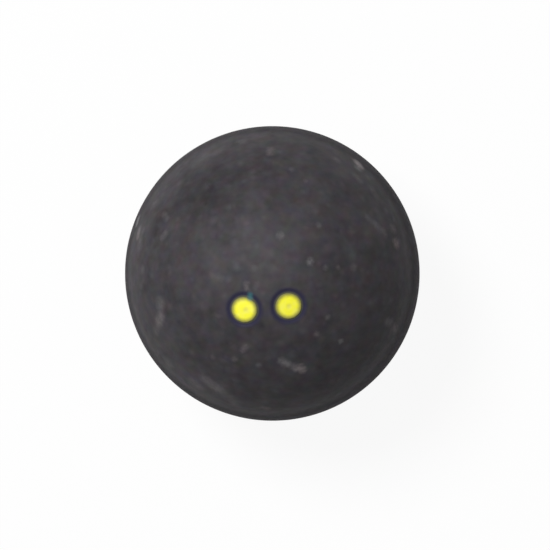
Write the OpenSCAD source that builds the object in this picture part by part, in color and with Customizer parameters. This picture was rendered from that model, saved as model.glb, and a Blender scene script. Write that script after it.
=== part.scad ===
// Two-dot squash ball: a hollow rubber ball made of two moulded half shells that are bonded
// rim to rim, with a pair of speed dots printed near the pole of the upper half.
// Millimetres. The origin is the ball's centre and +Z runs through the pole of the marked half.
// The seam lies in the XY plane, and the dots straddle the YZ plane on its -Y side.

/* [Ball] */
// Outside diameter of the ball
ball_d = 40; // [37:0.5:44]
// Thickness of the rubber wall
wall_t = 5.2; // [4:0.1:7]

/* [Bonded seam] */
// Thickness of the cured rubber solution between the two rims
bond_t = 0.2; // [0.1:0.05:0.4]
// Bevel on the outer edge of each rim
outer_bevel = 0.25; // [0.1:0.05:0.5]
// Bevel on the inner edge of each rim, which takes up the squeezed-out solution
inner_bevel = 0.6; // [0.3:0.1:0.8]
// Depth of the buffed seam line below the ball's surface
seam_depth = 0.05; // [0.02:0.01:0.08]
// Width of the bead that the solution leaves round the inside of the seam
bead_w = 2; // [1.8:0.1:3]
// Height of that bead above the cavity wall
bead_h = 0.4; // [0.2:0.05:0.8]

/* [Speed dots] */
// Diameter of each printed dot
dot_d = 3.3; // [2.5:0.1:4]
// Straight distance between the centres of the two dots
dot_pitch = 5.8; // [5:0.1:8]
// Angle from the pole to the middle of the pair
dot_tilt = 13; // [2:0.5:40]
// Thickness of the ink
ink_t = 0.12; // [0.06:0.01:0.3]
// Depth of the ink's face below the ball's surface
ink_sink = 0.03; // [0.01:0.01:0.1]
// Width of the bare pressed ring that shows round each dot
ring_w = 0.55; // [0.3:0.05:0.75]
// Width of the mark that the printing pin leaves in the middle of a dot
pin_mark_w = 0.8; // [0.5:0.1:1.5]
// Depth of that mark
pin_mark_depth = 0.04; // [0.02:0.01:0.05]

/* [Hidden] */
$fn = 160;

// How far a cutting tool runs past the surface that it cuts
overrun = 1;

// Ball: the outer surface and the cavity are two concentric spheres
ball_r = ball_d / 2;
cavity_r = ball_r - wall_t;

// Seam: the rims stop short of the XY plane by half of the bond's thickness
rim_z = bond_t / 2;
bead_arc_r = arc_radius(bead_w, bead_h);

// Speed dots: each lies on the curved floor of a round seat pressed into the upper half
dot_r = dot_d / 2;
seat_r = dot_r + ring_w;
ink_face_r = ball_r - ink_sink;
seat_floor_r = ink_face_r - ink_t;
dot_half_angle = asin(dot_pitch / 2 / ball_r);
pin_arc_r = arc_radius(pin_mark_w, pin_mark_depth);
LEFT = -1;
RIGHT = 1;

rubber_black = [0.27, 0.26, 0.275];
bond_black = [0.2, 0.195, 0.21];
dot_yellow = [1, 0.98, 0.27];

// Radius of the arc that has this width across its chord and this height over it
function arc_radius(width, height) = (pow(width / 2, 2) + pow(height, 2)) / (2 * height);

// Section of the notch that the bevels of both rims leave at one radius: widest at that radius,
// and as narrow as the bond where the bevels end
module rim_bevels(radius, bevel) {
    polygon([
        [radius - bevel, -rim_z],
        [radius, -rim_z - bevel],
        [radius + bevel, -rim_z],
        [radius + bevel, rim_z],
        [radius, rim_z + bevel],
        [radius - bevel, rim_z]
    ]);
}

// Section through the wall of the upper half, from its bevelled rim to its pole
module wall_section() {
    difference() {
        intersection() {
            circle(r = ball_r);
            translate([0, rim_z]) square(ball_r);
        }
        circle(r = cavity_r);
        rim_bevels(ball_r, outer_bevel);
        rim_bevels(cavity_r, inner_bevel);
    }
}

// Section through the cured solution: the film between the rims, the fill of the outer bevels
// up to the seam line, and the bead that it squeezes into the cavity
module bond_section() {
    difference() {
        intersection() {
            circle(r = ball_r - seam_depth);
            union() {
                translate([cavity_r, -rim_z]) square([wall_t, bond_t]);
                rim_bevels(ball_r, outer_bevel);
                translate([cavity_r - bead_h + bead_arc_r, 0]) circle(r = bead_arc_r);
            }
        }
        wall_section();
        mirror([0, 1]) wall_section();
    }
}

// One half as it goes to be bonded
module half_shell() {
    rotate_extrude() wall_section();
}

// Carries its children from the pole to the centre line of one dot
module at_dot(side) {
    rotate([dot_tilt, 0, 0]) rotate([0, side * dot_half_angle, 0]) children();
}

// Tool that presses the seat of one dot: all that lies above its curved floor
module seat_tool() {
    difference() {
        cylinder(r = seat_r, h = ball_r + overrun);
        sphere(r = seat_floor_r);
    }
}

// Ink disc with the shallow mark of the printing pin in its face
module ink_disc() {
    difference() {
        intersection() {
            cylinder(r = dot_r, h = ball_r);
            sphere(r = ink_face_r);
        }
        sphere(r = seat_floor_r);
        translate([0, 0, ink_face_r - pin_mark_depth + pin_arc_r]) sphere(r = pin_arc_r);
    }
}

module upper_half_shell() {
    color(rubber_black) difference() {
        half_shell();
        for (side = [LEFT, RIGHT]) at_dot(side) seat_tool();
    }
}

module lower_half_shell() {
    color(rubber_black) mirror([0, 0, 1]) half_shell();
}

module seam_bond() {
    color(bond_black) rotate_extrude() bond_section();
}

module left_speed_dot() {
    color(dot_yellow) at_dot(LEFT) ink_disc();
}

module right_speed_dot() {
    color(dot_yellow) at_dot(RIGHT) ink_disc();
}

upper_half_shell();
lower_half_shell();
seam_bond();
left_speed_dot();
right_speed_dot();
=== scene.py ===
"""Squash ball: the looks of its rubber half shells, its seam bond and its printed speed dots.

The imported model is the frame, in metres: its origin is the ball's centre, the seam lies in the
XY plane and +Z runs through the pole of the half that carries the dots. Every visible piece is
modelled here with the relief and finish of the real one, and stands where its solid stands.
"""

import logging
import math
import random
from dataclasses import dataclass, field
from enum import Enum
from functools import cached_property
from typing import ClassVar, Union

import bmesh
import bpy
import numpy as np
from mathutils import Matrix, Vector, noise


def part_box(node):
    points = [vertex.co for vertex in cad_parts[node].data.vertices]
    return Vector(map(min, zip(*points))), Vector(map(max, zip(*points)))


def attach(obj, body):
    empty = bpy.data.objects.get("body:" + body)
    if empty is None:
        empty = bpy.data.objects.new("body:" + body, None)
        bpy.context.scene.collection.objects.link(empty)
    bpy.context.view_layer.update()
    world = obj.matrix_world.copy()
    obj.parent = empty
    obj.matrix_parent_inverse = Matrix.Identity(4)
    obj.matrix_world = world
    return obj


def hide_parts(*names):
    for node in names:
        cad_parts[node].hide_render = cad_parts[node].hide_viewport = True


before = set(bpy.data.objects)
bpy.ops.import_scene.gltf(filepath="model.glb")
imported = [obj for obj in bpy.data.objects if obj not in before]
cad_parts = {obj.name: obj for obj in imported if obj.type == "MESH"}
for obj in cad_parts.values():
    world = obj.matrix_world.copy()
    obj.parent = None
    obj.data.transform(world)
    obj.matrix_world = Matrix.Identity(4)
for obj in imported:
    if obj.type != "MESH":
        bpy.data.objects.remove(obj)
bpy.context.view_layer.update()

log = logging.getLogger("squash_ball")

MM = 0.001
PER_MM = 1 / MM
FULL_TURN = 2 * math.pi
ORIGIN = Vector((0, 0, 0))
Y_AXIS = Vector((0, 1, 0))
Z_AXIS = Vector((0, 0, 1))
WHITE = (1.0, 1.0, 1.0, 1.0)
# Points closer together than this are one point
WELD = 0.0001 * MM
# Points this much below a surface still belong to it
SKIN = 0.01 * MM
# Length in millimetres of the line that a speck is drawn along
SPECK_LENGTH = 0.05
# From a pixel's edge to its middle
HALF_PIXEL = 0.5
# A noise texture's average
NOISE_MIDDLE = 0.5
# Places of a Mix node's colour sockets, whose names it repeats for numbers and vectors
MIX_A, MIX_B, MIX_OUT = 6, 7, 2

Colour = tuple[float, float, float]
Pair = tuple[float, float]
Pixel = Pair
Vert = bmesh.types.BMVert
Operand = Union["Signal", float]


class Half(Enum):
    """The two moulded halves of the ball, by the solid that each stands for."""

    MARKED = "upper_half_shell"
    PLAIN = "lower_half_shell"


class Side(Enum):
    """The two speed dots, as the photograph shows them."""

    LEFT = "left"
    RIGHT = "right"


@dataclass(frozen=True)
class BallSizes:
    """The sizes, in metres, that the ball's pieces share.

    Attributes:
        radius: Outside radius of the ball.
        wall: Thickness of the rubber.
        bond: Thickness of the cured solution between the rims.
        outer_bevel: Bevel on each rim's outer edge.
        inner_bevel: Bevel on each rim's inner edge.
        seam_depth: Depth of the seam line below the ball's surface.
        bead_width: Width of the bead inside the seam.
        bead_height: Height of that bead above the cavity wall.
        dot_radius: Radius of a speed dot.
        seat_radius: Radius of the round seat that a dot lies in.
        ink: Thickness of a dot's ink.
        ink_sink: Depth of the ink's face below the ball's surface.
    """

    radius: float
    wall: float = 5.2 * MM
    bond: float = 0.2 * MM
    outer_bevel: float = 0.25 * MM
    inner_bevel: float = 0.6 * MM
    seam_depth: float = 0.05 * MM
    bead_width: float = 2.0 * MM
    bead_height: float = 0.4 * MM
    dot_radius: float = 1.65 * MM
    seat_radius: float = 2.2 * MM
    ink: float = 0.12 * MM
    ink_sink: float = 0.03 * MM

    @property
    def cavity(self) -> float:
        """Radius of the cavity."""
        return self.radius - self.wall

    @property
    def rim_height(self) -> float:
        """Height of a rim above the seam plane."""
        return self.bond / 2

    @property
    def shoulder(self) -> float:
        """Height above the seam plane where a rim's outer bevel meets the ball's surface."""
        return self.rim_height + self.outer_bevel

    @property
    def corner_angle(self) -> float:
        """Angle from the pole to where a rim's inner bevel meets the cavity wall."""
        return math.acos((self.rim_height + self.inner_bevel) / self.cavity)

    @property
    def cavity_corner(self) -> Pair:
        """Where that bevel meets the cavity wall: how far out from the ball's axis, and how high."""
        return self.cavity * math.sin(self.corner_angle), self.cavity * math.cos(self.corner_angle)

    @property
    def seat_depth(self) -> float:
        """Depth of a dot's seat below the ball's surface."""
        return self.ink + self.ink_sink


@dataclass(frozen=True)
class PhotoView:
    """Where the photograph was taken from, worked out from the ball's outline and its dots.

    A pixel is a place across and down the photograph, where (0, 0) is the first pixel's middle.

    Attributes:
        radius: Outside radius of the ball in metres.
        dots: Direction of each dot from the ball's centre, in the ball's own frame.
        frame_px: Width and height of the photograph.
        ball_centre_px: Centre of the ball's round outline.
        ball_radius_px: Radius of that outline.
        left_dot_px: Centre of the left dot.
        right_dot_px: Centre of the right dot.
        lens: Focal length in millimetres.
        sensor: Width of the sensor in millimetres.
    """

    radius: float
    dots: dict[Side, Vector]
    frame_px: float = 550
    ball_centre_px: Pixel = (271.78, 272.94)
    ball_radius_px: float = 147.4
    left_dot_px: Pixel = (243.4, 309.4)
    right_dot_px: Pixel = (288.3, 305.7)
    lens: float = 200
    sensor: float = 36

    @property
    def focal_px(self) -> float:
        """Focal length in pixels."""
        return self.lens / self.sensor * self.frame_px

    @cached_property
    def ball_place(self) -> Vector:
        """Place of the ball's centre in the camera's own axes, from its size in the picture."""
        distance = math.hypot(self.radius * self.focal_px / self.ball_radius_px, self.radius)
        return self.ray(self.ball_centre_px) * distance

    @cached_property
    def turn(self) -> Matrix:
        """Works out how the camera is turned, which the two dots settle.

        Returns:
            The rotation from the camera's own axes to the ball's.
        """
        seen = (self.normal_at(self.left_dot_px), self.normal_at(self.right_dot_px))
        real = (self.dots[Side.LEFT], self.dots[Side.RIGHT])
        bases = []
        for left, right in (seen, real):
            middle, over = (left + right).normalized(), (right - left).normalized()
            bases.append(Matrix((middle, over, middle.cross(over))).transposed())
        return bases[1] @ bases[0].transposed()

    def ray(self, pixel: Pixel) -> Vector:
        """Direction from the camera through a pixel, in the camera's own axes.

        Args:
            pixel: A place in the photograph.

        Returns:
            A unit vector: x to the right, y up and -z forwards.
        """
        across = pixel[0] + HALF_PIXEL - self.frame_px / 2
        up = self.frame_px / 2 - pixel[1] - HALF_PIXEL
        return Vector((across, up, -self.focal_px)).normalized()

    def normal_at(self, pixel: Pixel) -> Vector:
        """The ball's outward direction where a pixel's ray meets it, in the camera's own axes.

        Args:
            pixel: A place on the ball in the photograph.

        Returns:
            A unit vector from the ball's centre.
        """
        ray, centre = self.ray(pixel), self.ball_place
        along = ray.dot(centre)
        short = math.sqrt(max(0.0, along**2 - centre.length_squared + self.radius**2))
        return (ray * (along - short) - centre).normalized()

    def on_ball(self, pixel: Pixel) -> Vector:
        """The place on the ball under a pixel, in the ball's own frame, in millimetres."""
        return self.turn @ self.normal_at(pixel) * (self.radius * PER_MM)


class Signal:
    """A number or a vector that varies over a surface. Python's operators add Math nodes to it."""

    def __init__(self, graph: "Graph", made: bpy.types.Node, output: int | str) -> None:
        """Wraps one output of a node that graph has made."""
        self.graph, self.made, self.output = graph, made, output

    @property
    def socket(self) -> bpy.types.NodeSocket:
        """The output socket itself."""
        return self.made.outputs[self.output]

    def other(self, output: int | str) -> "Signal":
        """Another output of the same node."""
        return Signal(self.graph, self.made, output)

    def _math(self, operation: str, first: Operand, second: Operand) -> "Signal":
        """Adds one Math node for two operands."""
        return self.graph.node("Math", {0: first, 1: second}, operation=operation)

    def __add__(self, other: Operand) -> "Signal":
        """Sum."""
        return self._math("ADD", self, other)

    def __sub__(self, other: Operand) -> "Signal":
        """Difference."""
        return self._math("SUBTRACT", self, other)

    def __rsub__(self, other: float) -> "Signal":
        """Difference from a number on the left."""
        return self._math("SUBTRACT", other, self)

    def __mul__(self, other: Operand) -> "Signal":
        """Product."""
        return self._math("MULTIPLY", self, other)

    __radd__ = __add__
    __rmul__ = __mul__

    def at_most(self, other: Operand) -> "Signal":
        """The lesser of two."""
        return self._math("MINIMUM", self, other)

    def at_least(self, other: Operand) -> "Signal":
        """The greater of two."""
        return self._math("MAXIMUM", self, other)

    def rise(self, low: float, high: float) -> "Signal":
        """Goes smoothly from 0 at low to 1 at high, or the other way if low is the greater."""
        inputs = {"Value": self, "From Min": low, "From Max": high}
        return self.graph.node("MapRange", inputs, interpolation_type="SMOOTHSTEP")

    def vector(self, operation: str, other: "Signal | Vector", output: str = "Vector") -> "Signal":
        """Adds one Vector Math node for this vector and another."""
        return self.graph.node("VectorMath", {0: self, 1: other}, output, operation=operation)

    def distance(self, other: "Signal | Vector") -> "Signal":
        """How far this point is from another."""
        return self.vector("DISTANCE", other, "Value")

    def scaled(self, factor: Operand) -> "Signal":
        """This vector or colour times a number."""
        return self.graph.node("VectorMath", {0: self, "Scale": factor}, "Vector", operation="SCALE")

    def blend(self, one: "Signal | Colour", two: "Signal | Colour") -> "Signal":
        """Mixes two colours: all of the first where this is 0, and all of the second where it is 1."""
        one, two = (side if isinstance(side, Signal) else (*side, 1.0) for side in (one, two))
        return self.graph.node("Mix", {0: self, MIX_A: one, MIX_B: two}, MIX_OUT, data_type="RGBA")


class Graph:
    """The node tree of a material or of the world."""

    def __init__(self, owner: bpy.types.Material | bpy.types.World) -> None:
        """Empties the tree of its owner.

        Args:
            owner: The material or the world.
        """
        owner.use_nodes = True
        self.owner, self.tree = owner, owner.node_tree
        self.tree.nodes.clear()

    def node(self, kind: str, inputs: dict | None = None, output: int | str = 0, **settings: str) -> Signal:
        """Adds one node.

        Args:
            kind: The node's type, without the ShaderNode that it starts with.
            inputs: A value or a signal for each socket, by name or place.
            output: The output socket to return.
            **settings: Properties, which are set before the sockets are used.

        Returns:
            That output as a signal.
        """
        made = self.tree.nodes.new(f"ShaderNode{kind}")
        for name, value in settings.items():
            setattr(made, name, value)
        for key, value in (inputs or {}).items():
            target = made.inputs[key]
            if isinstance(value, Signal):
                self.tree.links.new(value.socket, target)
            else:
                target.default_value = value
        return Signal(self, made, output)


@dataclass(frozen=True)
class Grain:
    """Soft random noise, which is read at a point of the ball's own frame in millimetres.

    Attributes:
        size: About how wide one blotch is, in millimetres.
        detail: How many finer layers it has.
        roughness: How strong those are.
    """

    size: float
    detail: float = 2.0
    roughness: float = 0.5

    def at(self, place: Signal) -> Signal:
        """The noise at a point, from 0 to 1, with its Color output for a vector of three."""
        inputs = {"Vector": place, "Scale": 1 / self.size, "Detail": self.detail, "Roughness": self.roughness}
        return place.graph.node("TexNoise", inputs, "Fac")

    def drift(self, place: Signal, reach: float) -> Signal:
        """A number that drifts about 0 from place to place, by reach in all."""
        return (self.at(place) - NOISE_MIDDLE) * reach

    def sway(self, place: Signal, reach: float) -> Signal:
        """A vector that drifts about 0 from place to place, by reach in all each way."""
        drift = self.at(place).other("Color").vector("SUBTRACT", Vector((NOISE_MIDDLE,) * 3))
        return drift.scaled(reach)


# The grain by which the edge of a scuff or a flake strays, with 2.2 blotches to a millimetre
EDGE_GRAIN = Grain(1 / 2.2)

Layers = tuple[tuple[Grain, float], ...]


@dataclass(frozen=True)
class Speckle:
    """Small soft specks of mixed sizes, scattered at random.

    Attributes:
        spacing: Average distance between the places where one may lie, in millimetres.
        radius: Radius of the largest, in millimetres.
        share: The share of those places that has one.
        strength: How strongly they show.
        bold: The share of the specks that shows at full strength.
    """

    spacing: float
    radius: float
    share: float
    strength: float
    bold: float = 0.6

    def at(self, place: Signal) -> Signal:
        """Works out how strongly the specks show.

        Args:
            place: The point, in millimetres.

        Returns:
            Their strength in the middle of a speck and 0 between specks.
        """
        inputs = {"Vector": place, "Scale": 1 / self.spacing}
        near = place.graph.node("TexVoronoi", inputs, "Distance")
        chance = place.graph.node("SeparateColor", {0: near.other("Color")}, "Red")
        half = self.radius / self.spacing / 2
        spot = (near - half * chance.other("Green")).rise(half, -half)
        return spot * chance.rise(1 - self.share, 1 - self.bold * self.share) * self.strength


@dataclass(frozen=True)
class Mark:
    """A scuff on the rubber, placed where the photograph shows it.

    Attributes:
        start_px: One end of the mark.
        end_px: Its other end.
        width: Width in millimetres where the mark is half as strong as in its middle.
        strength: How far the mark's colour covers the rubber's, from 0 to 1.
        warmth: 0 for a grey mark and 1 for a pinkish one.
        depth: How deep it is scored, in millimetres.
    """

    start_px: Pixel
    end_px: Pixel
    width: float
    strength: float
    warmth: float = 0.0
    depth: float = 0.0


def speck(place_px: Pixel, width: float, strength: float, warmth: float = 0.0, depth: float = 0.0) -> Mark:
    """A mark with both ends in one place."""
    return Mark(place_px, place_px, width, strength, warmth, depth)


PHOTO_MARKS = (
    # The long scuff under the right dot, with its brighter pinkish end
    Mark((281.5, 360.5), (286, 363), 0.92, 0.38, 0.0, 0.02),
    Mark((290.5, 365.5), (295, 368.5), 0.85, 0.24, 0.1, 0.02),
    Mark((297, 367.5), (301.5, 369), 0.95, 0.40, 0.6, 0.03),
    Mark((300.5, 365.5), (302.5, 371), 0.75, 0.22, 0.8, 0.02),
    # The upright scuff near the left edge
    Mark((159.5, 302), (159.5, 306), 1.25, 0.20, 0.0, 0.01),
    Mark((160.5, 316), (158, 321), 1.10, 0.33, 0.4, 0.01),
    Mark((157, 326), (155.5, 331), 1.00, 0.13),
    # The smear at the lower left
    Mark((205, 379), (216, 388), 1.50, 0.25, 0.2),
    Mark((217, 388), (234, 401), 1.50, 0.13),
    Mark((193, 382), (198, 386), 1.40, 0.19, 0.5),
    # Short scuffs and specks round the dots
    Mark((212, 274.5), (220, 277.5), 0.80, 0.10, 0.0, 0.01),
    speck((279.5, 235), 0.80, 0.28, 0.1, 0.01),
    speck((309.4, 261.2), 0.78, 0.36, 0.0, 0.02),
    Mark((246, 283), (246.5, 288), 0.60, 0.21, 0.5),
    Mark((255, 287), (257, 283), 0.60, 0.09),
    Mark((242.5, 349.5), (245.5, 345.5), 0.70, 0.20, 0.6, 0.01),
    speck((234, 359), 0.66, 0.17, 0.8),
    speck((212, 357), 0.60, 0.13, 0.6),
    # Specks and faint streaks over the rest of the face
    Mark((270, 148.5), (270, 153), 0.90, 0.20, 0.8),
    speck((291, 169), 0.68, 0.12),
    speck((305, 180.5), 0.55, 0.09, 0.6),
    Mark((367, 217), (373, 222), 0.80, 0.11),
    Mark((376, 224.5), (379, 228.5), 0.90, 0.15),
    Mark((383, 230), (385, 234), 0.75, 0.13, 0.6),
    speck((396, 243), 1.15, 0.50, 0.9),
    speck((340, 341), 0.60, 0.32, 0.0, 0.01),
    speck((316, 334), 0.66, 0.20, 0.5),
    Mark((387, 321), (390, 322), 0.95, 0.30, 0.2),
    Mark((393, 327), (395, 329), 1.05, 0.32, 0.7),
    Mark((163.5, 214.5), (166.5, 217.5), 0.75, 0.11),
    Mark((162, 236.5), (165, 232.5), 0.80, 0.16),
    speck((325, 267), 0.60, 0.14),
    speck((337.5, 267), 0.50, 0.13, 0.4),
    Mark((263, 407), (267, 408), 0.75, 0.20, 0.6),
    speck((353, 267), 0.80, 0.15),
    speck((253.5, 267.5), 0.70, 0.12),
    speck((393, 228.5), 1.10, 0.24, 0.3),
    speck((241, 141), 1.30, 0.16),
    speck((168, 362), 1.40, 0.16, 0.5),
    Mark((139, 241), (139, 246), 1.20, 0.13),
    speck((234, 404), 1.10, 0.12),
    speck((154, 203), 1.30, 0.16),
    speck((318, 225), 0.62, 0.17),
    speck((327, 317), 0.58, 0.17, 0.3),
    speck((258, 365), 0.66, 0.17),
    speck((142, 269), 0.90, 0.14),
    speck((142, 231), 0.90, 0.14),
    speck((357.5, 167.5), 0.90, 0.35),
    # Dusty patches towards the upper edge
    speck((336, 159), 0.95, 0.15),
    Mark((197, 161), (202, 157), 2.00, 0.11),
    Mark((216, 152), (217, 151.5), 1.30, 0.12, 0.3),
    Mark((357, 162), (359, 165), 1.10, 0.95, 0.4),
    Mark((355.5, 175), (359.5, 180), 0.90, 0.11),
    Mark((371.5, 188.5), (375.5, 194.5), 1.10, 0.10),
    # Painted highlights: two pale spots near the left edge
    Mark((137.5, 218.5), (136.5, 222.5), 0.90, 0.62),
    Mark((138.5, 230), (137.5, 235), 1.00, 0.42, 0.5),
)
# The flake of old teal ink at the left dot's upper right corner
TEAL_FLAKE = Mark((249.5, 294.6), (249.5, 297.6), 0.60, 0.84)


@dataclass(frozen=True)
class LightAndTonePatch:
    """A broad patch where the rubber is paler or darker: painted highlight and painted shade, mixed with the
    rubber's own uneven tone.

    Attributes:
        centre_px: Middle of the patch in the photograph.
        reach: Distance from its middle to its edge, in millimetres.
        tone: How much paler the middle is, as a share of the rubber's tone, or darker below 0.
    """

    centre_px: Pixel
    reach: float
    tone: float


# Paler patches paint the broad highlight on the face and darker ones paint shade, mixed with the rubber's own
# uneven tone
PHOTO_LIGHT_AND_TONE_PATCHES = (
    LightAndTonePatch((202, 262), 5.0, 0.17),
    LightAndTonePatch((280, 272), 5.2, 0.24),
    LightAndTonePatch((266, 236), 5.0, 0.18),
    LightAndTonePatch((226, 296), 3.6, 0.10),
    LightAndTonePatch((156, 318), 4.5, 0.10),
    LightAndTonePatch((378, 224), 5.0, 0.17),
    LightAndTonePatch((352, 178), 4.5, 0.12),
    LightAndTonePatch((204, 188), 6.6, -0.36),
    LightAndTonePatch((264, 164), 5.4, -0.17),
    LightAndTonePatch((184, 314), 4.0, -0.17),
    LightAndTonePatch((262, 302), 4.0, 0.06),
    LightAndTonePatch((232, 220), 4.2, -0.15),
    LightAndTonePatch((325, 266), 4.8, -0.21),
    LightAndTonePatch((362, 281), 3.8, -0.12),
    LightAndTonePatch((316, 334), 5.0, -0.20),
    LightAndTonePatch((242, 340), 4.8, -0.15),
    LightAndTonePatch((218, 360), 3.8, -0.08),
    LightAndTonePatch((400, 270), 5.2, 0.26),
    LightAndTonePatch((203, 384), 5.2, 0.30),
    LightAndTonePatch((170, 352), 4.4, 0.14),
    LightAndTonePatch((352, 168), 5.0, 0.16),
    LightAndTonePatch((156, 222), 4.6, -0.18),
    LightAndTonePatch((300, 200), 3.5, 0.06),
    LightAndTonePatch((196, 336), 3.6, -0.10),
    LightAndTonePatch((136, 274), 4.0, 0.10),
)


@dataclass(frozen=True)
class Stroke:
    """A mark laid on the ball: the straight line between its ends, in millimetres.

    Attributes:
        start: One end.
        end: The other end, a little way off even for a speck.
        mark: What is drawn there.
    """

    start: Vector
    end: Vector
    mark: Mark

    def at(self, place: Signal) -> Signal:
        """Works out the shape of the mark.

        Args:
            place: The point, in millimetres.

        Returns:
            1 along the middle of the mark and 0 outside it.
        """
        along = self.end - self.start
        past = place.vector("SUBTRACT", self.start)
        share = past.vector("DOT_PRODUCT", along, "Value") * (1 / along.length_squared)
        on_line = place.graph.node("Clamp", {"Value": share})
        line = place.graph.node("CombineXYZ", dict(enumerate(along)))
        return past.distance(line.scaled(on_line)).rise(self.mark.width, 0.0)


def lay_mark(mark: Mark, view: PhotoView) -> Stroke:
    """Puts one of the photograph's marks on the ball.

    Args:
        mark: The mark in pixels.
        view: The photograph's camera.

    Returns:
        The same mark in the ball's own frame.
    """
    start, end = view.on_ball(mark.start_px), view.on_ball(mark.end_px)
    if (end - start).length < SPECK_LENGTH:
        end = start + start.orthogonal().normalized() * SPECK_LENGTH
    return Stroke(start, end, mark)


def random_way(draw: random.Random) -> Vector:
    """A random direction, all directions being as likely.

    Args:
        draw: Where the chance comes from.

    Returns:
        A unit vector.
    """
    height, turn = draw.uniform(-1.0, 1.0), draw.uniform(0.0, FULL_TURN)
    across = math.sqrt(1 - height**2)
    return Vector((across * math.cos(turn), across * math.sin(turn), height))


@dataclass(frozen=True)
class Wear:
    """Scuffs and specks scattered over the plain half, where no photograph shows them.

    Attributes:
        seed: Settles all that is left to chance.
        count: How many there are.
        highest: Height of the highest above the seam, as a share of the ball's radius.
        lengths: Lengths in millimetres that a mark may have, all as likely.
        widths: Least and greatest width, in millimetres.
        strengths: Least and greatest strength.
        warmths: Least and greatest warmth.
        depths: Depths in millimetres that a mark may have, all as likely.
    """

    seed: int = 5
    count: int = 26
    highest: float = -0.25
    lengths: tuple[float, ...] = (SPECK_LENGTH, SPECK_LENGTH, SPECK_LENGTH, 1.4, 2.2, 3.2)
    widths: Pair = (0.45, 0.95)
    strengths: Pair = (0.08, 0.34)
    warmths: Pair = (0.0, 0.7)
    depths: tuple[float, ...] = (0.0, 0.01, 0.02)

    def strokes(self, radius_mm: float) -> tuple[Stroke, ...]:
        """Scatters the marks.

        Args:
            radius_mm: Outside radius of the ball, in millimetres.

        Returns:
            The marks, in the ball's own frame.
        """
        draw = random.Random(self.seed)
        strokes = []
        while len(strokes) < self.count:
            way = random_way(draw)
            if way.z > self.highest:
                continue
            length = draw.choice(self.lengths)
            along = way.cross(random_way(draw)).normalized() * length
            look = [draw.uniform(*span) for span in (self.widths, self.strengths, self.warmths)]
            mark = speck((0, 0), *look, draw.choice(self.depths))
            start = way * radius_mm
            strokes.append(Stroke(start, (start + along).normalized() * radius_mm, mark))
        return tuple(strokes)


def past(radius: float, reach: Pair) -> Pair:
    """Two distances in millimetres, each of which lies so far past a radius in metres."""
    return radius * PER_MM + reach[0], radius * PER_MM + reach[1]


@dataclass(frozen=True)
class Finish:
    """How the surface of a piece looks.

    Attributes:
        specular: The shader's Specular IOR Level.
        relief: Its fine relief: the grain of each layer, and how high it stands in metres.
        name: The material's name.
    """

    specular: ClassVar[float]
    relief: ClassVar[Layers]

    name: str

    def surface(self, place: Signal) -> tuple[Signal, Signal]:
        """The colour and the roughness at a point, which each finish works out in its own way."""
        raise NotImplementedError

    def material(self) -> bpy.types.Material:
        """Builds the material.

        Returns:
            The finished material, which ends in one Principled shader.
        """
        graph = Graph(bpy.data.materials.new(self.name))
        place = graph.node("TexCoord", output="Object").scaled(PER_MM)
        colour, roughness = self.surface(place)
        normal = {}
        for grain, reach in self.relief:
            bump = {"Height": grain.at(place), "Distance": reach, "Strength": 1.0, **normal}
            normal = {"Normal": graph.node("Bump", bump, "Normal")}
        look = {"Base Color": colour, "Roughness": roughness, "Specular IOR Level": self.specular, **normal}
        shader = graph.node("BsdfPrincipled", look, "BSDF")
        graph.node("OutputMaterial", {"Surface": shader})
        return graph.owner


@dataclass(frozen=True)
class Flake:
    """A flake of old ink that lies partly on the rubber and partly on a dot.

    Attributes:
        stroke: Where it lies.
        colour: Its colour.
        chipped: How far its edge strays, in millimetres.
    """

    stroke: Stroke
    colour: Colour = (0.055, 0.170, 0.190)
    chipped: float = 0.14

    def laid_on(self, under: Signal, place: Signal) -> Signal:
        """The surface's colour at a point, with the flake on it."""
        strayed = place.vector("ADD", EDGE_GRAIN.sway(place, self.chipped))
        return (self.stroke.at(strayed) * self.stroke.mark.strength).blend(under, self.colour)


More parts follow.
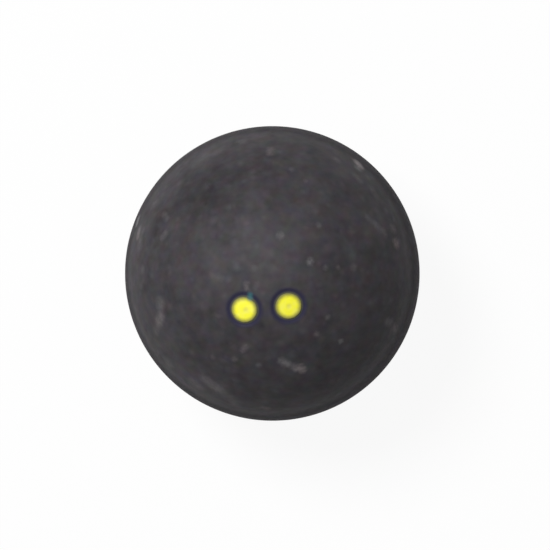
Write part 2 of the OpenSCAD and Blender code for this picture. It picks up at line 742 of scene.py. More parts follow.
@dataclass(frozen=True)
class RubberFinish(Finish):
    """Matt charcoal rubber, buffed after bonding, mottled, dusty and lightly scuffed.

    Attributes:
        sizes: The ball's shared sizes.
        strokes: Scuffs and specks that lie on it.
        light_and_tone_patches: Broad paler and darker patches of painted highlight and shade, mixed with
            uneven tone, each with its middle in millimetres.
        dot_axes: Direction of each dot, whose seat carries a dark ring that is partly stain and partly
            painted shade.
        flake: The flake of teal ink, if it is there.
        base: Colour of clean rubber.
        scuff: Colour of a grey scuff and of dust.
        warm_scuff: Colour of a pinkish scuff.
        stain_and_shade: Colour of the dark navy ring round each dot's seat, partly a stain and partly painted
            shade in that recess, and of the small dark specks.
        crept_ink: Colour of the thin ink that crept past a dot's edge.
        mottling: Grain and strength of each layer of mottling.
        pale_spots: Soft spots that are paler.
        dark_spots: Soft spots that are darker.
        pits: Small dark specks scattered at random.
        dust: How thick the dust is.
        dust_specks: Its finest specks and its larger flecks.
        dust_grain: The grain of the drifts that it lies in.
        drift_rise: Where in that grain a drift starts, and where it is at its full.
        between_drifts: How thick the dust is between drifts, as a share of that in them.
        hue_grain: The grain of the blotches that differ in hue.
        hue_drift: How far their hues differ.
        ragged: How far a scuff's edge strays, in millimetres.
        break_grain: The grain by which scuffs are broken.
        break_rise: Where in that grain a break ends, and where a scuff is at its full.
        scuff_cover: Cover of a scuff in its breaks, and how much more it has elsewhere.
        belt_reach: Height above the seam where the belt ends, and where it is at its full: a rougher band
            that also carries painted shade.
        belt_shade: How much darker the belt beside the seam is: painted shade that darkens the ball's edge as
            seen from above a pole.
        seat_ring_grain: The grain by which the dark ring's edge strays.
        seat_ring_sway: How far it strays, in millimetres.
        seat_ring_reach: How far past the seat's edge the dark ring fades out, and where it is at its full.
        creep_reach: The same for the thin ink past a dot's edge.
        seat_cover: How far the dark ring and that ink cover what lies under them.
        roughness: Roughness of clean rubber where it is smoothest.
        satin_grain: The grain by which the roughness varies.
        satin_drift: How much rougher it is where that grain is highest.
        dust_roughness: How much rougher dust is.
        belt_roughness: How much rougher the buffed belt is.
        seat_ring_gloss: How much smoother the bare seat under the dark ring is.
        aside: A shift that sets one pattern apart from another.
    """

    specular: ClassVar[float] = 0.08
    relief: ClassVar[Layers] = ((Grain(0.55), 0.010 * MM), (Grain(0.13, roughness=0.6), 0.006 * MM))

    sizes: BallSizes
    strokes: tuple[Stroke, ...] = ()
    light_and_tone_patches: tuple[tuple[Vector, LightAndTonePatch], ...] = ()
    dot_axes: tuple[Vector, ...] = ()
    flake: Flake | None = None
    base: Colour = (0.0510, 0.0468, 0.0520)
    scuff: Colour = (0.300, 0.295, 0.300)
    warm_scuff: Colour = (0.340, 0.270, 0.270)
    stain_and_shade: Colour = (0.0260, 0.0245, 0.0520)
    crept_ink: Colour = (0.140, 0.140, 0.065)
    mottling: Layers = (
        (Grain(7.0, 1.0), 0.22), (Grain(2.8, 1.0), 0.62), (Grain(1.3, 1.0), 0.56), (Grain(0.30, 1.0), 0.08)
    )
    pale_spots: Speckle = Speckle(1.5, 0.95, 0.8, 0.32)
    dark_spots: Speckle = Speckle(2.2, 0.9, 0.6, 0.26)
    pits: Speckle = Speckle(1.7, 0.22, 0.4, 0.35)
    dust: float = 1.0
    dust_specks: tuple[Speckle, Speckle] = (Speckle(0.9, 0.14, 0.30, 0.10), Speckle(2.6, 0.34, 0.35, 0.12))
    dust_grain: Grain = Grain(4.0, 3.0)
    drift_rise: Pair = (0.42, 0.72)
    between_drifts: float = 0.45
    hue_grain: Grain = Grain(1.5, 1.5)
    hue_drift: float = 0.40
    ragged: float = 0.40
    break_grain: Grain = Grain(0.50, roughness=0.6)
    break_rise: Pair = (0.30, 0.62)
    scuff_cover: Pair = (0.57, 0.36)
    belt_reach: Pair = (7.6, 5.0)
    belt_shade: float = 0.16
    seat_ring_grain: Grain = Grain(0.9)
    seat_ring_sway: float = 0.24
    seat_ring_reach: Pair = (0.58, -0.10)
    creep_reach: Pair = (0.40, -0.05)
    seat_cover: float = 0.90
    roughness: float = 0.46
    satin_grain: Grain = Grain(0.8)
    satin_drift: float = 0.12
    dust_roughness: float = 0.4
    belt_roughness: float = 0.22
    seat_ring_gloss: float = 0.12
    aside: Vector = field(default_factory=lambda: Vector((31.0, 17.0, 5.0)))

    def _own_colour(self, place: Signal) -> Signal:
        """Works out the colour before any dust, scuff or stain: its tone and hue drift at random.

        Args:
            place: The shaded point, in millimetres.

        Returns:
            The colour.
        """
        apart = place.vector("ADD", self.aside)
        tone = 1 - NOISE_MIDDLE * sum(strength for _, strength in self.mottling)
        for grain, strength in self.mottling:
            tone = tone + strength * grain.at(place)
        # Painted highlight and shade: broad paler and darker patches, mixed with uneven tone
        for middle, light_and_tone_patch in self.light_and_tone_patches:
            tone = tone + light_and_tone_patch.tone * place.distance(middle).rise(light_and_tone_patch.reach, 0.0)
        tone = tone + self.pale_spots.at(place) - self.dark_spots.at(apart)
        hue = self.hue_grain.sway(apart, self.hue_drift).vector("ADD", Vector((1.0, 1.0, 1.0)))
        return hue.vector("MULTIPLY", Vector(self.base)).scaled(tone)

    def _dusty(self, place: Signal) -> Signal:
        """Works out the cover of pale dust: specks of two sizes, thicker in drifts.

        Args:
            place: The shaded point, in millimetres.

        Returns:
            The cover, from 0 to 1.
        """
        drifts = self.dust_grain.at(place).rise(*self.drift_rise)
        thick = self.between_drifts + (1 - self.between_drifts) * drifts
        fine, coarse = self.dust_specks
        return (fine.at(place) + coarse.at(place)) * thick * self.dust

    def _scuffed(self, colour: Signal, place: Signal) -> Signal:
        """Lays the scuffs and specks on the rubber.

        Args:
            colour: The rubber's colour.
            place: The shaded point, in millimetres.

        Returns:
            The colour with its marks.
        """
        strayed = place.vector("ADD", EDGE_GRAIN.sway(place, self.ragged))
        broken, more = self.scuff_cover
        unbroken = broken + more * self.break_grain.at(place).rise(*self.break_rise)
        for stroke in self.strokes:
            warm = tuple(a + (b - a) * stroke.mark.warmth for a, b in zip(self.scuff, self.warm_scuff))
            colour = (stroke.at(strayed) * unbroken * stroke.mark.strength).blend(colour, warm)
        return colour

    def surface(self, place: Signal) -> tuple[Signal, Signal]:
        """Works out the rubber's look.

        Args:
            place: The shaded point, in millimetres.

        Returns:
            The colour and the roughness.
        """
        dust = self._dusty(place)
        height = place.graph.node("SeparateXYZ", {0: place}, "Z")
        belt = height.at_least(-1.0 * height).rise(*self.belt_reach)
        # Painted shade: the belt beside the seam, which forms the ball's edge seen from above, is darkened
        colour = dust.blend(self._own_colour(place), self.scuff).scaled(1 - self.belt_shade * belt)
        colour = self._scuffed(self.pits.at(place).blend(colour, self.stain_and_shade), place)
        roughness = self.roughness + self.satin_drift * self.satin_grain.at(place)
        roughness = roughness + self.dust_roughness * dust + self.belt_roughness * belt
        if self.dot_axes:
            left, right = (axis * self.sizes.radius * PER_MM for axis in self.dot_axes)
            away = place.distance(left).at_most(place.distance(right))
            # Partly a stain and partly painted shade: a dark navy ring over each dot's seat and a little past
            # its edge
            uneven = away + self.seat_ring_grain.drift(place, self.seat_ring_sway)
            stain_and_shade = uneven.rise(*past(self.sizes.seat_radius, self.seat_ring_reach))
            creep = away.rise(*past(self.sizes.dot_radius, self.creep_reach))
            colour = (self.seat_cover * stain_and_shade).blend(colour, self.stain_and_shade)
            colour = (self.seat_cover * creep).blend(colour, self.crept_ink)
            roughness = roughness - self.seat_ring_gloss * stain_and_shade
        if self.flake is not None:
            colour = self.flake.laid_on(colour, place)
        return colour, roughness


@dataclass(frozen=True)
class BondFinish(Finish):
    """Cured rubber solution: darker and a little glossier than the rubber, with buffing grit.

    Attributes:
        base: Its colour.
        worn: Its colour where the buffing wheel has dulled it.
        wear_grain: The grain of the worn patches.
        wear_rise: Where in that grain a patch starts, and where it is at its full.
        grit_colour: Colour of a grain of buffing grit.
        grit: The grains.
        roughness: Roughness where it is least worn, and how much rougher it is where most worn.
    """

    specular: ClassVar[float] = 0.12
    relief: ClassVar[Layers] = ((Grain(0.22, 3.0), 0.008 * MM),)

    base: Colour = (0.024, 0.023, 0.026)
    worn: Colour = (0.046, 0.044, 0.047)
    wear_grain: Grain = Grain(1.6, 4.0, 0.6)
    wear_rise: Pair = (0.40, 0.70)
    grit_colour: Colour = (0.15, 0.15, 0.15)
    grit: Speckle = Speckle(0.5, 0.09, 0.35, 0.20)
    roughness: Pair = (0.50, 0.25)

    def surface(self, place: Signal) -> tuple[Signal, Signal]:
        """Works out the bond's look.

        Args:
            place: The shaded point, in millimetres.

        Returns:
            The colour and the roughness.
        """
        wear = self.wear_grain.at(place)
        colour = wear.rise(*self.wear_rise).blend(self.base, self.worn)
        least, more = self.roughness
        return self.grit.at(place).blend(colour, self.grit_colour), least + more * wear


@dataclass(frozen=True)
class InkFinish(Finish):
    """Bright yellow printing ink, thinner at its edge and duller where the pin pressed it.

    Attributes:
        sizes: The ball's shared sizes.
        axis: Direction of the dot from the ball's centre.
        pin: Place of the pin's mark, in millimetres.
        flake: The flake of teal ink, if it is there.
        base: Colour of full ink.
        pale: Colour of its lighter patches.
        patch_grain: The grain of those patches.
        patch_rise: Where in that grain a patch starts, and where it is at its full.
        pressed: Colour of the pin's mark.
        pin_reach: Radius in millimetres of that mark.
        pin_cover: How far that colour covers the ink's.
        thin: Colour where the rubber shows through.
        thin_reach: How far past the dot's edge the ink starts to thin, and where it is thinnest.
        edge_grain: The grain by which the ink's edge and the pin mark's stray.
        edge_sway: How far they stray, in millimetres.
        dirt: Small specks of dirt.
        roughness: Roughness of the glossiest ink.
        patch_roughness: How much rougher it is where the patches' grain is highest.
        thin_roughness: How much rougher thin ink is.
    """

    specular: ClassVar[float] = 0.35
    relief: ClassVar[Layers] = ((Grain(0.20), 0.006 * MM),)

    sizes: BallSizes
    axis: Vector
    pin: Vector
    flake: Flake | None = None
    base: Colour = (1.0, 0.96, 0.045)
    pale: Colour = (1.0, 0.96, 0.110)
    patch_grain: Grain = Grain(1.1, 3.0)
    patch_rise: Pair = (0.40, 0.68)
    pressed: Colour = (0.80, 0.76, 0.150)
    pin_reach: float = 0.62
    pin_cover: float = 0.80
    thin: Colour = (0.19, 0.18, 0.055)
    thin_reach: Pair = (-0.68, 0.10)
    edge_grain: Grain = Grain(0.35)
    edge_sway: float = 0.12
    dirt: Speckle = Speckle(0.55, 0.06, 0.30, 0.22)
    roughness: float = 0.42
    patch_roughness: float = 0.14
    thin_roughness: float = 0.10

    def surface(self, place: Signal) -> tuple[Signal, Signal]:
        """Works out the ink's look.

        Args:
            place: The shaded point, in millimetres.

        Returns:
            The colour and the roughness.
        """
        patch = self.patch_grain.at(place)
        uneven = self.edge_grain.drift(place, self.edge_sway)
        away = place.distance(self.axis * self.sizes.radius * PER_MM) + uneven
        edge = away.rise(*past(self.sizes.dot_radius, self.thin_reach))
        press = (place.distance(self.pin) + uneven).rise(self.pin_reach, 0.0)
        colour = patch.rise(*self.patch_rise).blend(self.base, self.pale)
        colour = edge.blend(colour, self.thin)
        colour = (self.pin_cover * press).blend(colour, self.pressed)
        colour = self.dirt.at(place).blend(colour, self.thin)
        if self.flake is not None:
            colour = self.flake.laid_on(colour, place)
        return colour, self.roughness + self.patch_roughness * patch + self.thin_roughness * edge


def make_piece(name: str, mesh: bmesh.types.BMesh, material: bpy.types.Material) -> bpy.types.Object:
    """Turns a bmesh into a finished, smooth-shaded object at the origin.

    Args:
        name: The piece's name.
        mesh: The bmesh, which is freed.
        material: What it is made of.

    Returns:
        The new object, linked into the scene.
    """
    data = bpy.data.meshes.new(name)
    for face in mesh.faces:
        face.smooth = True
    mesh.to_mesh(data)
    mesh.free()
    data.materials.append(material)
    made = bpy.data.objects.new(name, data)
    bpy.context.scene.collection.objects.link(made)
    return made


def ease(value: np.ndarray, low: float, high: float) -> np.ndarray:
    """Goes smoothly from 0 at low to 1 at high, or the other way if low is the greater."""
    share = np.clip((value - low) / (high - low), 0.0, 1.0)
    return share * share * (3 - 2 * share)


@dataclass
class Relief:
    """The fine relief of the rubber's outer face, as depths in millimetres below the true sphere.

    Attributes:
        seed: Settles the waves and the pits.
        strokes: Scuffs that are scored into the surface.
        waves: Size and depth of each layer of waves, from the broad unevenness that moulding
            leaves to the finest marks of the buffing wheel.
        pits: How many small pits there are.
        pit_depth: Depth of the deepest pit.
        shallowest: Depth of the shallowest, as a share of that.
        pit_reach: Radius of the smallest pit and of the widest.
        score_reach: Radius of a score: a share of its mark's width, and what is added to that.
    """

    seed: int
    strokes: tuple[Stroke, ...] = ()
    waves: tuple[Pair, ...] = ((5.5, 0.016), (1.9, 0.012), (0.75, 0.007))
    pits: int = 180
    pit_depth: float = 0.030
    shallowest: float = 0.3
    pit_reach: Pair = (0.25, 0.60)
    score_reach: Pair = (0.5, 0.1)

    def _pitted(self, places: np.ndarray, radius: float) -> np.ndarray:
        """Scatters the pits.

        Args:
            places: Points on the sphere.
            radius: The sphere's radius.

        Returns:
            The depth of the pits at each point.
        """
        draw = random.Random(self.seed)
        depth = np.zeros(len(places))
        for _ in range(self.pits):
            centre = radius * np.array(random_way(draw))
            reach, deep = draw.uniform(*self.pit_reach), self.pit_depth * draw.uniform(self.shallowest, 1.0)
            away = np.linalg.norm(places - centre, axis=1)
            depth = np.maximum(depth, deep * ease(away, reach, 0.0))
        return depth

    def depth(self, places: np.ndarray, radius: float) -> np.ndarray:
        """Works out the waves, the pits and the scored scuffs together.

        Args:
            places: Points on the sphere.
            radius: The sphere's radius.

        Returns:
            The depth at each point, never below 0.
        """
        shift = Vector((self.seed, 2 * self.seed, 3 * self.seed))
        depth = np.zeros(len(places))
        for size, height in self.waves:
            layer = [noise.noise((Vector(place) + shift) / size) for place in places]
            depth += height * (1 + np.clip(np.array(layer), -1.0, 1.0)) / 2
        depth += self._pitted(places, radius)
        widths, more = self.score_reach
        for stroke in self.strokes:
            start, along = np.array(stroke.start), np.array(stroke.end - stroke.start)
            share = np.clip((places - start) @ along / (along @ along), 0.0, 1.0)
            away = np.linalg.norm(places - start - share[:, None] * along, axis=1)
            depth += stroke.mark.depth * ease(away, widths * stroke.mark.width + more, 0.0)
        return depth


@dataclass
class BallPiece:
    """A piece of the ball, modelled as one closed mesh that stands for one solid.

    Attributes:
        slot: Name of the kind of material that it is made of.
        segments: How many segments it has round its axis.
        name: The piece's name.
        node: The solid that it stands for.
        sizes: The ball's shared sizes.
        mesh: What it is modelled in.
    """

    slot: ClassVar[str]
    segments: ClassVar[int]

    name: str
    node: str
    sizes: BallSizes
    mesh: bmesh.types.BMesh = field(init=False, default_factory=bmesh.new)

    def _point(self, out: float, height: float) -> Vert:
        """Adds a vertex to the section, which lies in the XZ plane."""
        return self.mesh.verts.new((out, 0, height))

    def _arc(self, start: Vert, angle: float, steps: int, centre: Vector = ORIGIN) -> Vert:
        """Spins a vertex, from +Z towards +X, into an arc of the section. Gives the arc's end."""
        spun = bmesh.ops.spin(self.mesh, geom=[start], cent=centre, axis=Y_AXIS, angle=angle, steps=steps)
        return next(item for item in spun["geom_last"] if isinstance(item, Vert))

    def _join(self, *chain: Vert) -> None:
        """Draws a straight edge from each vertex to the next."""
        for pair in zip(chain, chain[1:]):
            self.mesh.edges.new(pair)

    def _round(self, corner: Vert, reach: float) -> None:
        """Rounds a corner of the section."""
        round_off = {"affect": "VERTICES", "segments": 4, "profile": 0.5, "material": -1}
        bmesh.ops.bevel(self.mesh, geom=[corner], offset=reach, **round_off)

    def _turned(self, matrix: Matrix) -> None:
        """Turns the whole piece about the ball's centre."""
        bmesh.ops.rotate(self.mesh, verts=self.mesh.verts[:], cent=ORIGIN, matrix=matrix)

    def _spin(self) -> None:
        """Makes a closed solid of revolution: a quarter spin about the Z axis, mirrored twice."""
        mesh, section = self.mesh, [*self.mesh.verts, *self.mesh.edges]
        quarter = {"angle": FULL_TURN / 4, "steps": self.segments // 4}
        bmesh.ops.spin(mesh, geom=section, cent=ORIGIN, axis=Z_AXIS, **quarter)
        for axis in "XY":
            made = [*mesh.verts, *mesh.edges, *mesh.faces]
            bmesh.ops.mirror(mesh, geom=made, matrix=Matrix(), merge_dist=WELD, axis=axis)
        bmesh.ops.remove_doubles(mesh, verts=mesh.verts[:], dist=WELD)
        bmesh.ops.recalc_face_normals(mesh, faces=mesh.faces[:])

    def _draw(self) -> None:
        """Draws the section that is spun, as each kind of piece does in its own way."""
        raise NotImplementedError

    def _work(self) -> None:
        """Works the spun solid into the piece, as each kind of piece does in its own way."""
        raise NotImplementedError

    def build(self, finish: Finish) -> bpy.types.Object:
        """Models the piece where its solid stands.

        Args:
            finish: What its surface looks like.

        Returns:
            The finished piece.
        """
        self._draw()
        self._spin()
        self._work()
        piece = make_piece(self.name, self.mesh, finish.material())
        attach(piece, "root")
        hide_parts(self.node)
        return piece


@dataclass
class HalfShell(BallPiece):
    """One moulded half of the ball: outer face, bevelled rim and cavity wall, in one closed skin.

    Attributes:
        relief: The relief of its outer face.
        seats: Direction of each dot's seat from the ball's centre.
        cap_angle: Angle from the pole to the end of the finer rows, in degrees.
        cap_rows: How many finer rows there are.
        side_rows: How many rows there are from there to the rim.
        cavity_rows: How many rows the cavity wall has.
        roundings: Rounding at the outer face's edge, the bevel's foot and the inner bevel's foot.
        fade: Height above the bevel over which the relief fades in, in millimetres.
        lip: Where a seat's wall starts and ends, from the seat's edge, in millimetres.
        rings: Where the first and the last ring are cut across that wall, measured as the lip is.
        ring_count: How many rings there are.
        ring_room: How far past the seat's edge a face may lie and still be cut, in millimetres.
        pressed_flat: How much of the relief is gone from a seat's floor.
    """

    slot: ClassVar[str] = "rubber"
    segments: ClassVar[int] = 448

    relief: Relief
    seats: tuple[Vector, ...] = ()
    cap_angle: float = 45.0
    cap_rows: int = 98
    side_rows: int = 62
    cavity_rows: int = 24
    roundings: tuple[float, float, float] = (0.14 * MM, 0.06 * MM, 0.12 * MM)
    fade: float = 0.9
    lip: Pair = (0.26, -0.28)
    rings: Pair = (-0.30, 0.26)
    ring_count: int = 13
    ring_room: float = 0.9
    pressed_flat: float = 0.9

    def _draw(self) -> None:
        """Draws the wall's section from the outer pole, round the rim, to the cavity's pole."""
        s = self.sizes
        cap = math.radians(self.cap_angle)
        crown = self._arc(self._point(0, s.radius), cap, self.cap_rows)
        edge = self._arc(crown, math.acos(s.shoulder / s.radius) - cap, self.side_rows)
        outer_foot = self._point(s.radius - s.outer_bevel, s.rim_height)
        inner_foot = self._point(s.cavity + s.inner_bevel, s.rim_height)
        inner_edge = self._point(*s.cavity_corner)
        self._join(edge, outer_foot, inner_foot, inner_edge)
        self._arc(inner_edge, -s.corner_angle, self.cavity_rows)
        for corner, reach in zip((edge, outer_foot, inner_foot), self.roundings):
            self._round(corner, reach)

    def _ring_seats(self) -> None:
        """Cuts rings into the outer face round each seat, so that its lip and floor are round."""
        s = self.sizes
        start, end = (s.seat_radius + reach * MM for reach in self.rings)
        for axis in self.seats:
            middle, close = axis * s.radius, s.seat_radius + self.ring_room * MM
            for away in np.linspace(start, end, self.ring_count):
                faces = [f for f in self.mesh.faces if (f.calc_center_median() - middle).length < close]
                near = {item for f in faces for item in (f, *f.edges, *f.verts)}
                cut = {"plane_co": axis * math.sqrt(s.radius**2 - away**2), "plane_no": axis}
                bmesh.ops.bisect_plane(self.mesh, geom=list(near), dist=WELD, **cut)

    def _work(self) -> None:
        """Presses the relief and the seats into the outer face."""
        s = self.sizes
        self._ring_seats()
        if Half(self.node) is Half.PLAIN:
            self._turned(Matrix.Rotation(math.pi, 3, "X"))
        outer = [v for v in self.mesh.verts if v.co.length > s.radius - SKIN]
        places = np.array([v.co for v in outer]) * PER_MM
        radius, seat, shoulder = s.radius * PER_MM, s.seat_radius * PER_MM, s.shoulder * PER_MM
        faded = ease(np.abs(places[:, 2]), shoulder, shoulder + self.fade)
        depth = self.relief.depth(places, radius) * faded
        for axis in self.seats:
            away = np.linalg.norm(places - np.array(axis) * radius, axis=1)
            floor = ease(away, seat + self.lip[0], seat + self.lip[1])
            depth = depth * (1 - self.pressed_flat * floor) + s.seat_depth * PER_MM * floor
        for vertex, deep in zip(outer, depth):
            vertex.co -= vertex.co.normalized() * (deep * MM)


@dataclass
class SeamBond(BallPiece):
    """The cured solution that joins the halves: the buffed seam line, the film and the bead.

    Attributes:
        seam_wave: Unevenness of the buffed seam line, in millimetres.
        seam_layers: Size in millimetres and strength of each layer of that unevenness.
        seam_middle: Its average, as a share of seam_wave.
        bead_wave: Unevenness of the bead inside, in millimetres.
        bead_layers: Size in millimetres and strength of each layer of that.
        bead_steps: How many edges the bead's section has.
        line_cuts: How many cuts there are across the seam line.
    """

    slot: ClassVar[str] = "bond"
    segments: ClassVar[int] = 480

    seam_wave: float = 0.016
    seam_layers: tuple[Pair, ...] = ((1.3, 0.5), (0.4, 0.3))
    seam_middle: float = 0.5
    bead_wave: float = 0.14
    bead_layers: tuple[Pair, ...] = ((4.0, 1.0), (1.5, 0.5))
    bead_steps: int = 14
    line_cuts: int = 7

    def _draw(self) -> None:
        """Draws the bond's closed section, half above the seam plane and half below it."""
        s = self.sizes
        half_bead = s.bead_width / 2
        bead = (half_bead**2 + s.bead_height**2) / (2 * s.bead_height)
        centre = Vector((s.cavity - s.bead_height + bead, 0, 0))
        angle = math.asin(half_bead / bead)
        first = self._point(centre.x - bead * math.cos(angle), half_bead)
        last = self._arc(first, -2 * angle, self.bead_steps, centre)
        upper = [
            (s.radius - s.seam_depth, s.shoulder - s.seam_depth),
            (s.radius - s.outer_bevel, s.rim_height),
            (s.cavity + s.inner_bevel, s.rim_height),
            s.cavity_corner,
        ]
        tops = [self._point(out, height) for out, height in upper]
        feet = [self._point(out, -height) for out, height in upper]
        self._join(first, *reversed(tops), *feet, last)
        line = [e for e in self.mesh.edges if tops[0] in e.verts and feet[0] in e.verts]
        bmesh.ops.subdivide_edges(self.mesh, edges=line, cuts=self.line_cuts)

    def _work(self) -> None:
        """Makes the seam line and the bead uneven, as squeezing and buffing leave them."""
        s = self.sizes
        for vertex in self.mesh.verts:
            flat = Vector((vertex.co.x, vertex.co.y, 0))
            out, away, place = flat.length, flat.normalized(), vertex.co * PER_MM
            if out > s.radius - s.seam_depth - SKIN:
                layers = (part * noise.noise(place / size) for size, part in self.seam_layers)
                rough = sum(layers, self.seam_middle)
                dip = 1 - abs(vertex.co.z) / s.shoulder
                vertex.co -= away * (self.seam_wave * rough * dip * MM)
            elif out < s.cavity - WELD:
                swell = sum(part * noise.noise(place / size) for size, part in self.bead_layers)
                share = (s.cavity - out) / s.bead_height
                vertex.co -= away * (self.bead_wave * swell * share * MM)


@dataclass
class SpeedDot(BallPiece):
    """A printed dot: a thin curved disc of ink with a soft edge and the mark of its pin.

    Attributes:
        axis: Direction of the dot from the ball's centre.
        pin: Place of the pin's mark, in millimetres.
        seed: Settles its unevenness.
        chip: Place of a missing corner, in millimetres, or None.
        rows: How many rows its face has.
        back_rows: How many rows its back has.
        edge_rounding: Rounding at its edge.
        spread: How far its outline stands out on average, in millimetres.
        outline_waves: About how many waves to a radian each layer of its outline's unevenness
            has, and their height in millimetres.
        pull: How fast the outline's pull on the face dies away towards the middle, as a power.
        chip_depth: Depth of the missing corner, in millimetres.
        chip_cosine: Cosine of half the angle that the missing corner takes up.
        dimple: Depth and radius of the pin's mark, in millimetres.
        sag: Average depth of the face's unevenness and how far it varies, in millimetres.
        sag_size: Size of that unevenness, in millimetres.
    """

    slot: ClassVar[str] = "dot_ink"
    segments: ClassVar[int] = 144

    axis: Vector
    pin: Vector
    seed: int
    chip: Vector | None = None
    rows: int = 30
    back_rows: int = 4
    edge_rounding: float = 0.05 * MM
    spread: float = 0.05
    outline_waves: tuple[Pair, ...] = ((1.6, 0.05), (5.0, 0.025))
    pull: int = 3
    chip_depth: float = 0.10
    chip_cosine: float = 0.86
    dimple: Pair = (0.04, 0.5)
    sag: Pair = (0.008, 0.010)
    sag_size: float = 0.55

    def _draw(self) -> None:
        """Draws the ink's section from the middle of its face to the middle of its back."""
        s = self.sizes
        face = s.radius - s.ink_sink
        back = face - s.ink
        angle = math.asin(s.dot_radius / face)
        edge = self._arc(self._point(0, face), angle, self.rows)
        foot = self._point(back * math.sin(angle), back * math.cos(angle))
        self._join(edge, foot)
        self._arc(foot, -angle, self.back_rows)
        self._round(edge, self.edge_rounding)

    def _outline(self, way: Vector) -> float:
        """Works out how far the ink's edge stands out one way from its middle.

        Args:
            way: Direction from the middle along the ball's surface.

        Returns:
            The distance past a true circle, in millimetres, below 0 where the edge is chipped.
        """
        shift = Vector((self.seed, 0, 0))
        uneven = sum(height * noise.noise(way * pitch + shift) for pitch, height in self.outline_waves)
        chip = 0.0
        if self.chip is not None:
            facing = way.dot((self.chip - self.axis * self.sizes.radius * PER_MM).normalized())
            chip = self.chip_depth * max(0.0, facing - self.chip_cosine) / (1 - self.chip_cosine)
        return self.spread + uneven - chip

    def _work(self) -> None:
        """Turns the ink to its seat, and gives it its outline, its pin mark and its soft face."""
        s = self.sizes
        self._turned(Z_AXIS.rotation_difference(self.axis).to_matrix())
        shift = Vector((self.seed, 0, 0))
        for vertex in self.mesh.verts:
            place = vertex.co * PER_MM
            flat = vertex.co - self.axis * s.radius
            flat -= self.axis * flat.dot(self.axis)
            if flat.length > 0:
                way, pull = flat.normalized(), (flat.length / s.dot_radius) ** self.pull
                vertex.co += way * (self._outline(way) * pull * MM)
            if vertex.co.length > s.radius - s.ink_sink - s.ink / 2:
                deep, reach = self.dimple
                deep *= max(0.0, 1 - ((place - self.pin).length / reach) ** 2) ** 2
                sag = self.sag[0] + self.sag[1] * noise.noise(place / self.sag_size + shift)
                vertex.co -= vertex.co.normalized() * ((deep + max(0.0, sag)) * MM)


@dataclass(frozen=True)
class SoftLight:
    """A round softbox that points at the ball.

    Attributes:
        name: The lamp's name.
        toward: Direction from the ball to the lamp, in the photograph's own axes.
        distance: Distance from the ball's centre, in metres.
        width: Diameter of the lamp, in metres.
        level: How brightly it lights a white surface that faces it, where 1 is white.
    """

    name: str
    toward: tuple[float, float, float]
    distance: float
    width: float
    level: float

    def build(self, turn: Matrix) -> None:
        """Hangs the lamp.

        Args:
            turn: Rotation from the camera's own axes to the ball's.
        """
        lamp = bpy.data.lights.new(self.name, "AREA")
        lamp.shape, lamp.size = "DISK", self.width
        lamp.energy = self.level * math.pi**2 * self.distance**2
        holder = bpy.data.objects.new(self.name, lamp)
        away = turn @ Vector(self.toward).normalized()
        holder.location = away * self.distance
        holder.rotation_euler = away.to_track_quat("Z", "Y").to_euler()
        bpy.context.scene.collection.objects.link(holder)


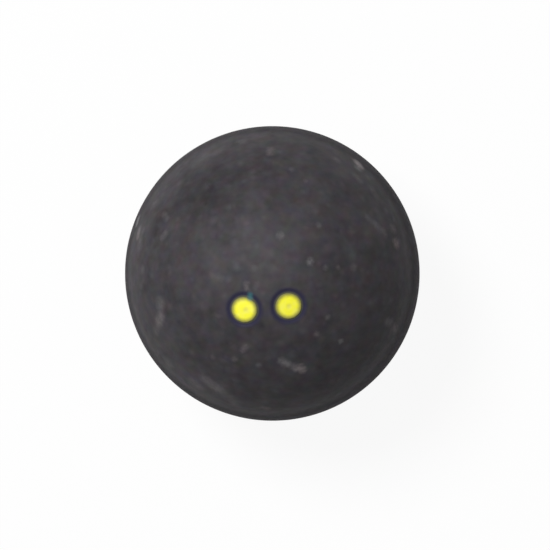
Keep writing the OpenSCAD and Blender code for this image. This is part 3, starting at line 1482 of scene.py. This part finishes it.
@dataclass
class Studio:
    """The pale floor, the white surroundings, the softbox and the camera.

    Attributes:
        view: The photograph's camera.
        floor_height: Height of the floor, in metres.
        floor_radius: Radius of the floor, in metres.
        room_level: How brightly the surroundings light the ball, where 1 is white.
        floor_white: How much of the floor's look is plain white, where the rest takes shadow.
        floor_gloss: The same for what the camera sees of it in a reflection or through glass.
        floor_glow: How brightly the floor lights the ball from below, where 1 is white.
        floor_colour: Colour of the floor where light falls on it.
        bounce_colour: Colour that the floor has for the light it throws back on the ball.
        softbox: The lamp.
        clip_start: Nearest distance that the camera sees, in metres.
    """

    view: PhotoView
    floor_height: float
    floor_radius: float = 3.0
    room_level: float = 0.15
    floor_white: float = 0.93
    floor_gloss: float = 0.20
    floor_glow: float = 0.28
    floor_colour: Colour = (0.90, 0.90, 0.90)
    bounce_colour: Colour = (0.10, 0.10, 0.10)
    softbox: SoftLight = SoftLight(
        "key_softbox", toward=(-0.365, 0.335, 0.868), distance=0.60, width=0.22, level=1.0
    )
    clip_start: float = 10 * MM

    @staticmethod
    def _seen(camera: Signal) -> Signal:
        """1 for what the camera sees, directly, in a reflection or through glass."""
        return camera.at_least(camera.other("Is Glossy Ray")).at_least(camera.other("Is Transmission Ray"))

    def _floor(self) -> None:
        """Lays the floor, which is clear from below so that the ball's underside can be seen."""
        graph = Graph(bpy.data.materials.new("pale_floor"))
        camera = graph.node("LightPath", output="Is Camera Ray")
        seen = self._seen(camera)
        colour = seen.blend(self.bounce_colour, self.floor_colour)
        matt = graph.node("BsdfDiffuse", {"Color": colour})
        white = graph.node("Emission", {"Color": WHITE, "Strength": 1.0})
        glow = self.floor_glow + seen * (self.floor_gloss - self.floor_glow)
        share = camera * (self.floor_white - self.floor_gloss) + glow
        lit = graph.node("MixShader", {0: share, 1: matt, 2: white})
        behind = graph.node("NewGeometry", output="Backfacing")
        clear = graph.node("BsdfTransparent")
        top = graph.node("MixShader", {0: behind, 1: lit, 2: clear})
        graph.node("OutputMaterial", {"Surface": top})
        mesh = bmesh.new()
        bmesh.ops.create_circle(mesh, cap_ends=True, radius=self.floor_radius, segments=64)
        bmesh.ops.translate(mesh, verts=mesh.verts[:], vec=(0, 0, self.floor_height))
        make_piece("studio_floor", mesh, graph.owner)

    def _room(self) -> None:
        """Fills the surroundings with even light, and shows them white."""
        graph = Graph(bpy.data.worlds.new("white_room"))
        seen = self._seen(graph.node("LightPath", output="Is Camera Ray"))
        strength = self.room_level + (1 - self.room_level) * seen
        white = graph.node("Background", {"Color": WHITE, "Strength": strength})
        graph.node("OutputWorld", {"Surface": white})
        bpy.context.scene.world = graph.owner

    def _camera(self) -> None:
        """Sets the camera where the photograph was taken from."""
        data = bpy.data.cameras.new("photo_camera")
        data.lens, data.sensor_width = self.view.lens, self.view.sensor
        data.clip_start, data.clip_end = self.clip_start, 2 * self.floor_radius
        camera = bpy.data.objects.new("photo_camera", data)
        turn = self.view.turn
        camera.matrix_world = Matrix.Translation(-(turn @ self.view.ball_place)) @ turn.to_4x4()
        bpy.context.scene.collection.objects.link(camera)
        bpy.context.scene.camera = camera

    def build(self) -> None:
        """Builds the whole studio."""
        self._floor()
        self._room()
        self._camera()
        self.softbox.build(self.view.turn)
        bpy.context.scene.view_settings.view_transform = "Standard"


@dataclass(frozen=True)
class DotPrint:
    """What differs from one dot's printing to the other's.

    Attributes:
        pin: How far the pin's mark is from the dot's middle, across and up, in millimetres.
        seed: Settles the dot's unevenness.
    """

    pin: Pair
    seed: int


DOT_PRINTS = {Side.LEFT: DotPrint((0.24, -0.07), seed=3), Side.RIGHT: DotPrint((0.06, -0.07), seed=11)}


@dataclass
class SquashBall:
    """The whole ball: both halves, the bond between them and the two printed dots.

    Attributes:
        sizes: Its shared sizes.
        view: The photograph's camera.
        thin_dust: How thick the dust on the marked half is, of which the photograph shows little.
    """

    sizes: BallSizes
    view: PhotoView
    thin_dust: float = 0.25

    @cached_property
    def flake(self) -> Flake:
        """The flake of teal ink at the left dot."""
        return Flake(lay_mark(TEAL_FLAKE, self.view))

    def _marked_half(self) -> bpy.types.Object:
        """Builds the half that the photograph shows.

        Returns:
            The finished piece.
        """
        axes = tuple(self.view.dots.values())
        strokes = tuple(lay_mark(mark, self.view) for mark in PHOTO_MARKS)
        # Patches of painted highlight and shade, mixed with uneven tone
        light_and_tone_patches = tuple((self.view.on_ball(light_and_tone_patch.centre_px), light_and_tone_patch) for light_and_tone_patch in PHOTO_LIGHT_AND_TONE_PATCHES)
        finish = RubberFinish(
            "marked_rubber", self.sizes, strokes, light_and_tone_patches, axes, self.flake, dust=self.thin_dust
        )
        relief = Relief(seed=7, strokes=strokes)
        return HalfShell("marked_half_shell", Half.MARKED.value, self.sizes, relief, axes).build(finish)

    def _plain_half(self) -> bpy.types.Object:
        """Builds the other half, with scuffs and specks of its own.

        Returns:
            The finished piece.
        """
        strokes = Wear().strokes(self.sizes.radius * PER_MM)
        finish = RubberFinish("plain_rubber", self.sizes, strokes)
        relief = Relief(seed=23, strokes=strokes)
        return HalfShell("plain_half_shell", Half.PLAIN.value, self.sizes, relief).build(finish)

    def _dot(self, side: Side) -> bpy.types.Object:
        """Builds one dot.

        Args:
            side: Which dot.

        Returns:
            The finished piece.
        """
        name, axis, printed = side.value, self.view.dots[side], DOT_PRINTS[side]
        pin = axis * (self.sizes.radius * PER_MM) + self.view.turn @ Vector((*printed.pin, 0))
        flake = self.flake if side is Side.LEFT else None
        chip = flake.stroke.end if flake is not None else None
        dot = SpeedDot(f"{name}_ink_dot", f"{name}_speed_dot", self.sizes, axis, pin, printed.seed, chip)
        return dot.build(InkFinish(f"{name}_dot_ink", self.sizes, axis, pin, flake))

    def build(self) -> list[bpy.types.Object]:
        """Builds every piece.

        Returns:
            The pieces, in the order that the log gives them.
        """
        bond = SeamBond("seam_bond_ring", "seam_bond", self.sizes).build(BondFinish("cured_solution"))
        return [self._marked_half(), self._plain_half(), bond, *(self._dot(side) for side in Side)]


def dot_axis(side: Side) -> Vector:
    """Direction of a dot from the ball's centre, read from its solid."""
    low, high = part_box(f"{side.value}_speed_dot")
    return ((low + high) / 2).normalized()


def main() -> None:
    """Builds the ball and its studio, and reports each piece."""
    logging.basicConfig(level=logging.INFO, format="%(name)s: %(message)s")
    sizes = BallSizes(radius=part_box(Half.MARKED.value)[1].z)
    view = PhotoView(sizes.radius, {side: dot_axis(side) for side in Side})
    for piece in SquashBall(sizes, view).build():
        log.info("%s: %d vertices, %d faces", piece.name, len(piece.data.vertices), len(piece.data.polygons))
    Studio(view, floor_height=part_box(Half.PLAIN.value)[0].z).build()


if __name__ == "__main__":
    main()
